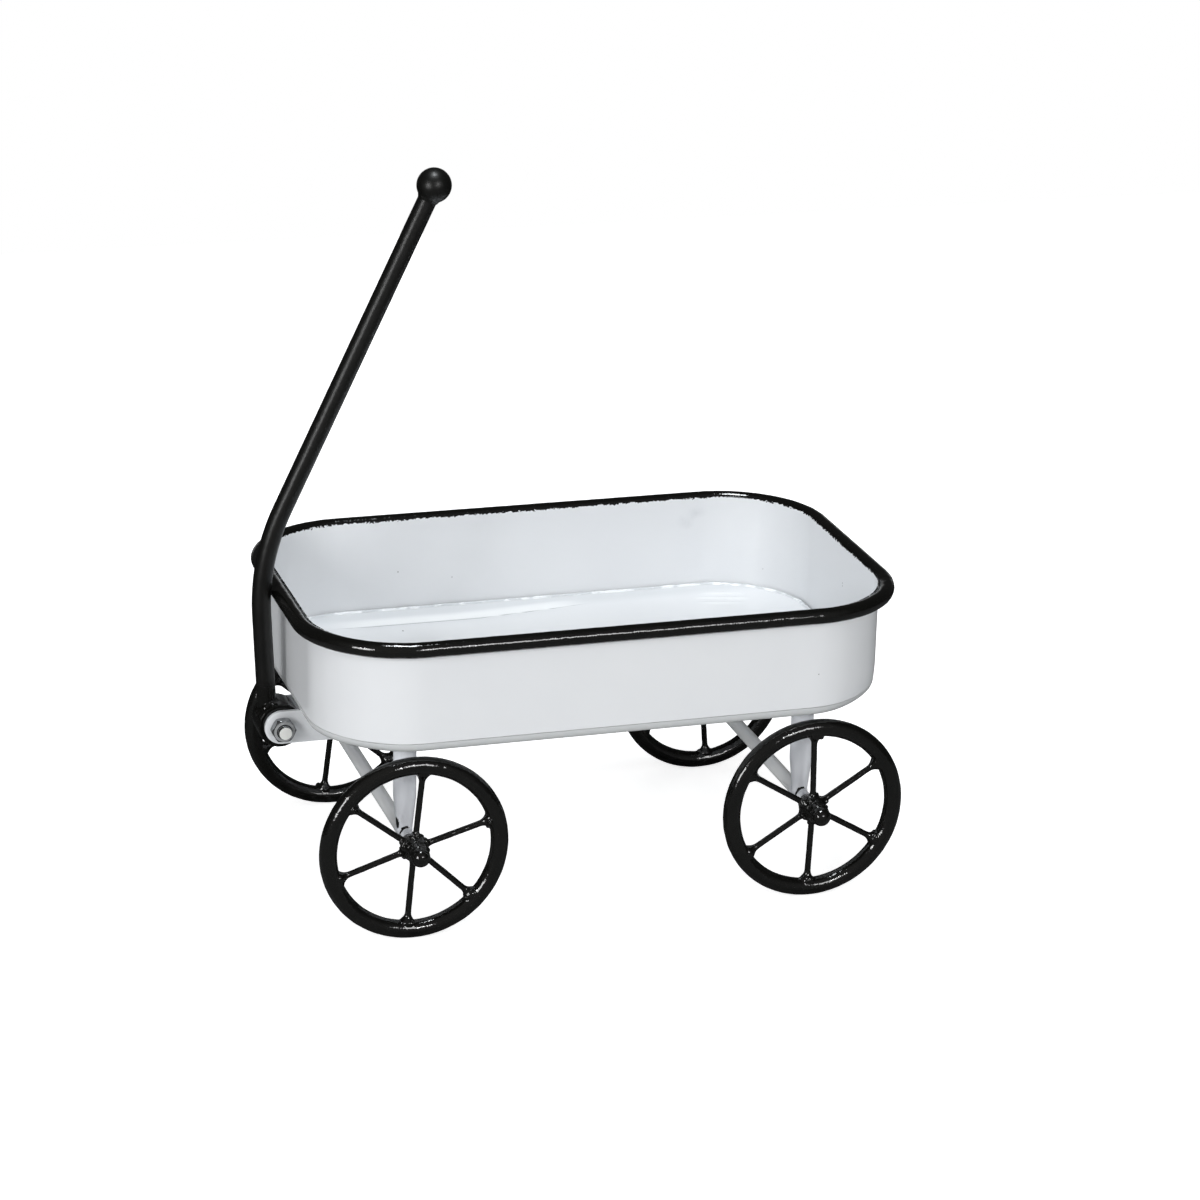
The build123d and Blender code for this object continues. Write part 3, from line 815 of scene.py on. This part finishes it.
def addLump(shape, place, radius):
    bmesh.ops.create_icosphere(shape, subdivisions=2, radius=radius, matrix=Matrix.Translation(place))


# Handle: eye, rod and knob under one coat, with weld lumps round the rod's foot and neck
handle = dict(voxel=0.5 * mm, softRounds=5, footOffset=5.7 * mm, lean=2.6, leanHigh=25.5, footLump=1.5 * mm,
              neckLump=0.9 * mm, lumps=22, seed=5)


def handleShape():
    shape = cadCopy("handle_eye", "handle_rod", "handle_knob")
    draw = random.Random(handle["seed"])
    eyeLow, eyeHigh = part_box("handle_eye")
    rodLow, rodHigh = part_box("handle_rod")
    knobLow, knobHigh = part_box("handle_knob")
    eyeMiddle, eyeRadius = (eyeLow + eyeHigh) / 2, (eyeHigh.z - eyeLow.z) / 2
    knobRadius = (knobHigh.y - knobLow.y) / 2
    knobMiddle = Vector((knobHigh.x - knobRadius, 0, knobHigh.z - knobRadius))
    rodRadius = (rodHigh.y - rodLow.y) / 2
    slope = math.radians(handle["leanHigh"])
    down = Vector((math.sin(slope), 0, -math.cos(slope)))
    acrossRod = Vector((math.cos(slope), 0, math.sin(slope)))
    neck = knobMiddle + down * math.sqrt(knobRadius ** 2 - rodRadius ** 2)
    lean = math.tan(math.radians(handle["lean"]))
    for number in range(handle["lumps"]):
        angle = 2 * math.pi * number / handle["lumps"]
        sideways = Vector((0, rodRadius * math.sin(angle), 0))
        # foot: where the rod's surface meets the eye
        x = handle["footOffset"] + eyeRadius * lean + rodRadius * math.cos(angle)
        z = math.sqrt(max(0, eyeRadius ** 2 - x ** 2))
        place = eyeMiddle + Vector((x, 0, z)) + sideways
        addLump(shape, place, handle["footLump"] * draw.uniform(0.6, 1.2))
        place = neck + acrossRod * (rodRadius * math.cos(angle)) + sideways
        addLump(shape, place, handle["neckLump"] * draw.uniform(0.7, 1.2))
    return shape


piece = newPiece("pullHandle", handleShape())
fuse(piece, handle)
paint(piece, handlePaint, 31, blackHandle)
mount(piece, "handle", "black_enamel", "handle_eye", "handle_rod", "handle_knob")

# Undercarriage: each axle tube with its two legs, fused where they are welded
under = dict(
    voxel=0.47 * mm, softRounds=4, weldLump=1.1 * mm, weldHalf=4.6 * mm, weldReach=0.92, lumps=16, seed=9,
    creviceOut=4.8 * mm, creviceWide=1.6 * mm,     # painted black shadow where a foot ends on its tube
    creviceFrom=0.2, creviceTo=1.35,               # height and distance from the tube's middle, in radii
    # a black patch on one leg where it meets its tube
    blackPatch=dict(corner="front_left",
              place=(4.6 * mm, 1.2 * mm, 6.8 * mm), size=(2.3 * mm, 2.8 * mm, 5.2 * mm)))


def undercarriage(end):
    shape = cadCopy(f"{end}_axle_tube", f"{end}_left_leg", f"{end}_right_leg")
    tubeLow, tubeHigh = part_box(f"{end}_axle_tube")
    draw = random.Random(under["seed"])
    radius = (tubeHigh.z - tubeLow.z) / 2
    for side in sides:
        legLow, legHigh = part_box(f"{end}_{side}_leg")
        middle = (legLow + legHigh) / 2
        for number in range(under["lumps"]):
            angle = 2 * math.pi * number / under["lumps"]
            x = under["weldReach"] * radius * math.cos(angle)
            place = Vector((middle.x + x, middle.y + under["weldHalf"] * math.sin(angle),
                            (tubeLow.z + tubeHigh.z) / 2 + math.sqrt(radius ** 2 - x ** 2)))
            addLump(shape, place, under["weldLump"] * draw.uniform(0.6, 1.2))
    return shape


def legPointValues(piece, end):
    # which points are on a leg, where painted shadow lies in a foot's crevice, and where the black patch is
    tubeLow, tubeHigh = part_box(f"{end}_axle_tube")
    middle, radius = (tubeLow + tubeHigh) / 2, (tubeHigh.z - tubeLow.z) / 2
    legLow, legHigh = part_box(f"{end}_left_leg")
    legOut, legHalf = (legLow.y + legHigh.y) / 2, (legHigh.y - legLow.y) / 2
    blackPatch = under["blackPatch"]

    def legShare(vertex):
        return min(1, max(0, (abs(vertex.co.y) - legOut + legHalf) / mm))

    def blackTouch(vertex):
        x, y, z = vertex.co.x - middle.x, abs(vertex.co.y) - legOut, vertex.co.z - middle.z
        dark = 0.0
        # painted shadow in the crevice where the foot ends on the tube
        if z > under["creviceFrom"] * radius and math.hypot(x, z) < under["creviceTo"] * radius:
            wide = under["creviceWide"] * max(0.05, 0.3 + 0.7 * x / radius)    # widens towards the front
            dark = max(0, 1.3 - abs(y - under["creviceOut"]) / wide)
        if blackPatch["corner"] == end + ("_left" if vertex.co.y > 0 else "_right"):
            gap = Vector([(a - b) / c for a, b, c in zip((x, y, z), blackPatch["place"], blackPatch["size"])])
            dark = max(dark, 1.2 - gap.length)
        return dark
    pointValues(piece, "legShare", legShare)
    pointValues(piece, "blackTouch", blackTouch)


for number, end in enumerate(ends):
    piece = newPiece(f"{end}Legs", undercarriage(end))
    fuse(piece, under)
    paint(piece, thinPaint, 41 + number, whiteLegs)
    legPointValues(piece, end)
    mount(piece, "cart", "white_enamel", f"{end}_axle_tube", f"{end}_left_leg", f"{end}_right_leg")

# Cap nuts with their washers, one shape set on the four axle ends
capNut = dict(flats=12.0 * mm, hexHeight=5.0 * mm, height=12.0 * mm, dome=11.2 * mm, washer=13.0 * mm,
              washerHeight=1.2 * mm, washerEdge=0.15 * mm, voxel=0.35 * mm, softRounds=4)


def capNutShape():
    sizes, flats = capNut, capNut["flats"]
    base, edge = sizes["washerHeight"], sizes["washerEdge"]
    washer, dome = sizes["washer"] / 2, sizes["dome"] / 2
    hexTop = base + sizes["hexHeight"]
    sphere = base + sizes["height"] - dome
    section = [(0.0, washer - edge), (edge, washer), (base - edge, washer), (base, washer - edge)]
    section += [(base + d * mm, hexEdge(flats, d * mm)) for d in (0, 0.8)]
    section += [(hexTop - d * mm, hexEdge(flats, d * mm)) for d in (0.8, 0.4, 0)]
    section += [(hexTop, dome), (sphere, dome)]
    turns = [math.radians(angle) for angle in range(10, 89, 8)]
    section += [(sphere + dome * math.sin(a), dome * math.cos(a)) for a in turns]
    return lathe(section, 72)


def onAxleEnds():
    tree, add, given = startTree("onAxleEnds", Object="shape", Int="seed", Material="material")
    shape = add("GeometryNodeObjectInfo", {"Object": given["shape"]}).outputs["Geometry"]
    here = add("GeometryNodeInputPosition")
    across = add("SeparateXYZ", {0: here}).outputs["Y"]
    side = add("Math", {0: across}, operation="SIGN")
    tip = add("Math", {0: side, 1: -math.pi / 2}, operation="MULTIPLY")
    spin = add("FunctionNodeRandomValue", {
        2: 0.0, 3: math.pi / 3, "Seed": given["seed"]}, data_type="FLOAT")
    turn = add("CombineXYZ", {"X": tip, "Y": spin})
    nuts = add("GeometryNodeInstanceOnPoints", {
        "Points": given["Geometry"], "Instance": shape, "Rotation": turn})
    return endTree(tree, nuts, given["material"])


template = newPiece("capNutTemplate", capNutShape())
places = []
for end, side in corners:
    low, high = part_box(f"{end}_{side}_washer")
    middle = (low + high) / 2
    places.append((middle.x, low.y if side == "left" else high.y, middle.z))
piece = pointsPiece("axleCapNuts", places)
useTree(piece, onAxleEnds(), dict(shape=template, seed=4, material=black))
fuse(piece, capNut)
paint(piece, nutPaint, 51, black)
bpy.data.objects.remove(template)
mount(piece, "cart", "black_enamel",
      *[f"{end}_{side}_{part}" for end, side in corners for part in ("washer", "cap_nut")])

# Hinge: two flat-bar ears with a soft edge, and a zinc bolt with its nut
ear = dict(edge=0.45 * mm, riser=35 * mm, hole=8.2 * mm, noseSteps=32, holeSteps=40)


def earPiece(name, nodeName):
    low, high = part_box(nodeName)
    half = high.x - hingeX
    nose = [math.radians(-90 + 180 * k / ear["noseSteps"]) for k in range(ear["noseSteps"] + 1)]
    outline = [(low.x, low.z)] + [(hingeX + half * math.cos(a), hingeZ + half * math.sin(a)) for a in nose]
    outline += [(low.x + ear["riser"], hingeZ + half), (low.x + ear["riser"], high.z), (low.x, high.z)]
    turn = [2 * math.pi * k / ear["holeSteps"] for k in range(ear["holeSteps"])]
    hole = [(hingeX + ear["hole"] / 2 * math.cos(a), hingeZ + ear["hole"] / 2 * math.sin(a)) for a in turn]
    curve = bpy.data.curves.new(name, "CURVE")
    curve.dimensions = "2D"
    curve.fill_mode = "BOTH"
    curve.extrude = (high.y - low.y) / 2 - ear["edge"]
    curve.bevel_depth = ear["edge"]
    curve.bevel_resolution = 3
    curve.offset = -ear["edge"]
    for points in (outline, hole):
        spline = curve.splines.new("POLY")
        spline.points.add(len(points) - 1)
        spline.use_cyclic_u = True
        for point, (x, z) in zip(spline.points, points):
            point.co = (x, z, 0, 1)
    flat = bpy.data.objects.new(name + "Flat", curve)
    scene.collection.objects.link(flat)
    ready = flat.evaluated_get(bpy.context.evaluated_depsgraph_get())
    shape = bmesh.new()
    shape.from_mesh(ready.to_mesh())
    bpy.data.objects.remove(flat)
    upright = Matrix.Translation((0, (low.y + high.y) / 2, 0)) @ Matrix.Rotation(math.radians(90), 4, "X")
    bmesh.ops.transform(shape, matrix=upright, verts=shape.verts)
    bmesh.ops.remove_doubles(shape, verts=shape.verts, dist=0.001 * mm)
    bmesh.ops.recalc_face_normals(shape, faces=shape.faces)
    return newPiece(name, shape)


for side in sides:
    piece = settle(earPiece(side + "HingeEar", f"{side}_hinge_ear"), white, sharp=35)
    mount(piece, "cart", "white_enamel", f"{side}_hinge_ear")

bolt = dict(flats=13 * mm, shank=8 * mm, head=5.3 * mm, nut=6.5 * mm, nutFit=0.05 * mm,
            countersink=0.55 * mm, chamferSteps=(0, 0.3, 0.6, 0.9, 1.2, 1.5),   # mm under the face
            pitch=1.25 * mm, threadDepth=0.38 * mm, threadLength=11 * mm, threadSteps=88, runOut=6,
            tipChamfer=0.4 * mm, segments=120)


def layAlongY(shape, y):
    place = Matrix.Translation((hingeX, y, hingeZ)) @ Matrix.Rotation(math.radians(-90), 4, "X")
    bmesh.ops.transform(shape, matrix=place, verts=shape.verts)
    bmesh.ops.recalc_face_normals(shape, faces=shape.faces)
    return shape


def nutShape():
    height, flats, sink = bolt["nut"], bolt["flats"], bolt["countersink"]
    bore = bolt["shank"] / 2 + bolt["nutFit"]
    depths = [d * mm for d in bolt["chamferSteps"]]
    section = [(d, hexEdge(flats, d)) for d in depths]
    section += [(height - d, hexEdge(flats, d)) for d in reversed(depths)]
    section += [(height, bore + sink), (height - sink, bore), (sink, bore), (0.0, bore + sink)]
    return lathe(section, bolt["segments"], bored=True)


def boltShape():
    length, radius, tip = boltHigh.y - boltLow.y, bolt["shank"] / 2, bolt["tipChamfer"]

    def thread(z, depth):
        def radiusAt(angle):
            turn = (z / bolt["pitch"] - angle / (2 * math.pi)) % 1
            return min(radius - depth * abs(2 * turn - 1), radius - tip + (length - z))
        return radiusAt

    section = [(d * mm, hexEdge(bolt["flats"], d * mm)) for d in bolt["chamferSteps"]]
    section += [(bolt["head"], hexEdge(bolt["flats"], bolt["head"])), (bolt["head"], radius)]
    for step in range(bolt["threadSteps"] + 1):
        z = length - bolt["threadLength"] + bolt["threadLength"] * step / bolt["threadSteps"]
        section.append((z, thread(z, min(1, step / bolt["runOut"]) * bolt["threadDepth"])))
    section += [(length, radius - tip), (length, radius / 2)]
    return lathe(section, bolt["segments"])


for name, shape, nodeName in (("hingeBolt", layAlongY(boltShape(), boltLow.y), "hinge_bolt"),
                              ("hingeNut", layAlongY(nutShape(), nutLow.y), "hinge_nut")):
    piece = settle(newPiece(name, shape), zinc, sharp=24)
    mount(piece, "cart", "zinc_plate", nodeName)
print("pieces ready")

# Camera, worked out from the rim and the four wheels in the 1200 by 1200 frame
view = dict(
    azimuth=162.461, elevation=19.679, roll=1.346, distance=2.143319,
    frame=1200, focalPixels=3618.547, sensor=36.0,
    target=(tray["middle"] - 18.479 * mm, 0.0, 156.555 * mm))


def outwards(azimuth, elevation):
    # unit vector from the cart, degrees round and up
    a, e = math.radians(azimuth), math.radians(elevation)
    return Vector((math.sin(a) * math.cos(e), -math.cos(a) * math.cos(e), math.sin(e)))


back = outwards(view["azimuth"], view["elevation"])
level = outwards(view["azimuth"] + 90, 0)
upward = back.cross(level)
roll = math.radians(view["roll"])
right = level * math.cos(roll) + upward * math.sin(roll)
upward = upward * math.cos(roll) - level * math.sin(roll)
lens = bpy.data.cameras.new("photoView")
lens.sensor_width = view["sensor"]
lens.lens = view["focalPixels"] * view["sensor"] / view["frame"]
camera = bpy.data.objects.new("photoView", lens)
camera.matrix_world = Matrix((right, upward, back)).transposed().to_4x4()
camera.location = Vector(view["target"]) + back * view["distance"]
scene.collection.objects.link(camera)
scene.camera = camera

# Studio: three soft boxes with a small bright heart each, a broad glow from the camera's side, a fill from
# beyond the cart, and dark flags at the sides that give the white corners their grey edge
studio = dict(
    aim=(0.0, 0.0, 0.14),
    boxes=dict(                                    # degrees round and up, metres away, size, watts, tint
        overhead=(150, 86, 2.0, (0.5, 0.5), 19.4, "#F7FCFF"),
        frontLeft=(127.5, 14, 2.1, (0.6, 0.6), 12.3, "#FFFFFF"),
        frontRight=(192, 23, 2.2, (0.72, 0.45), 9.0, "#FFFFFF"),
        overheadHeart=(150, 80, 1.9, (0.09, 0.09), 2.0, "#F7FCFF"),
        leftHeart=(124, 24, 2.0, (0.07, 0.07), 2.0, "#FFFFFF"),
        rightHeart=(186, 26, 2.1, (0.07, 0.07), 2.0, "#FFFFFF")),
    frontGlow=0.30, glossGlow=0.15, glowStart=0.25, glowFull=0.75,   # towards the camera, as cosines
    backGlow=0.40, backStart=0.5, backFull=0.9,    # the fill, which the gloss doesn't mirror
    sweep=0.8, sweepStart=0.85, sweepFull=0.97,    # white behind the cart, which only the gloss mirrors
    flag=0.03,
    floor="#EFEFEF", floorSize=1.5,
    floorMirror="#696969", farMirror="#2E2E2E",    # the gloss mirrors a dimmer floor
    glowNear=0.75, glowFar=1.0, nearEdge=0.25, farEdge=0.9)    # the floor's white, by metres from the cart
for name, (azimuth, elevation, distance, size, power, tint) in studio["boxes"].items():
    lamp = bpy.data.lights.new(name, "AREA")
    lamp.energy = power
    lamp.color = hexColor(tint)[:3]
    lamp.shape = "RECTANGLE"
    lamp.size, lamp.size_y = size
    away = outwards(azimuth, elevation)
    light = bpy.data.objects.new(name, lamp)
    light.location = Vector(studio["aim"]) + away * distance
    light.rotation_euler = away.to_track_quat("Z", "Y").to_euler()
    scene.collection.objects.link(light)


def seenBy(add):
    # rays from the camera, and those that a gloss or glass sends on
    ray = add("LightPath").outputs
    mirrored = add("Math", {0: ray["Is Glossy Ray"], 1: ray["Is Transmission Ray"]}, operation="MAXIMUM")
    return ray["Is Camera Ray"], mirrored


world = bpy.data.worlds.new("paleStudio")
scene.world = world
world.use_nodes = True
world.node_tree.nodes.clear()
add = partial(addNode, world.node_tree)
filmed, mirrored = seenBy(add)
direction = add("TexCoord").outputs["Generated"]
behind = add("VectorMath", {0: direction, 1: -back}, operation="DOT_PRODUCT")
rear = add("VectorMath", {0: direction, 1: (-back.x, -back.y, back.z)}, operation="DOT_PRODUCT")
front = add("Mix", {0: mirrored, 2: studio["frontGlow"], 3: studio["glossGlow"]})
glow = add("MapRange", {
    "Value": behind, "From Min": -studio["glowStart"], "From Max": -studio["glowFull"],
    "To Min": studio["flag"], "To Max": front})
sweep = add("MapRange", {
    "Value": behind, "From Min": studio["sweepStart"], "From Max": studio["sweepFull"],
    "To Max": studio["sweep"]})
fill = add("MapRange", {
    "Value": rear, "From Min": studio["backStart"], "From Max": studio["backFull"],
    "To Max": studio["backGlow"]})
beyond = add("Mix", {0: mirrored, 2: fill, 3: sweep})
seen = add("Math", {0: beyond, 1: glow}, operation="ADD")
seen = add("Mix", {0: filmed, 2: seen, 3: 1.0})
backdrop = add("Background", {"Color": "#FFFFFF", "Strength": seen})
add("OutputWorld", {"Surface": backdrop})

# Pale matt floor: it keeps the shadow, and the camera sees it fade out to white
ground, add, place = startMaterial("paleFloor")
filmed, mirrored = seenBy(add)
away = add("VectorMath", {0: place}, operation="LENGTH")
pale = add("MapRange", {
    "Value": away, "From Min": studio["nearEdge"], "From Max": studio["farEdge"],
    "To Min": studio["glowNear"], "To Max": studio["glowFar"]})
strength = add("Math", {0: filmed, 1: pale}, operation="MULTIPLY")
across = add("SeparateXYZ", {0: place}).outputs["Y"]
near = add("MapRange", {"Value": across, "From Min": -studio["nearEdge"], "From Max": 0.0})
mirror = add("Mix", {0: near, 6: studio["farMirror"], 7: studio["floorMirror"]}, data_type="RGBA")
tone = add("Mix", {0: mirrored, 6: studio["floor"], 7: mirror}, data_type="RGBA")
matt = add("BsdfDiffuse", {"Color": tone})
glow = add("Emission", {"Color": "#FFFFFF", "Strength": strength})
both = add("AddShader", {0: matt, 1: glow})
add("OutputMaterial", {"Surface": both})
shape = bmesh.new()
bmesh.ops.create_grid(shape, x_segments=1, y_segments=1, size=studio["floorSize"])
floor = newPiece("studioFloor", shape)
floor.data.materials.append(ground)

scene.view_settings.view_transform = "Standard"
print("studio ready")
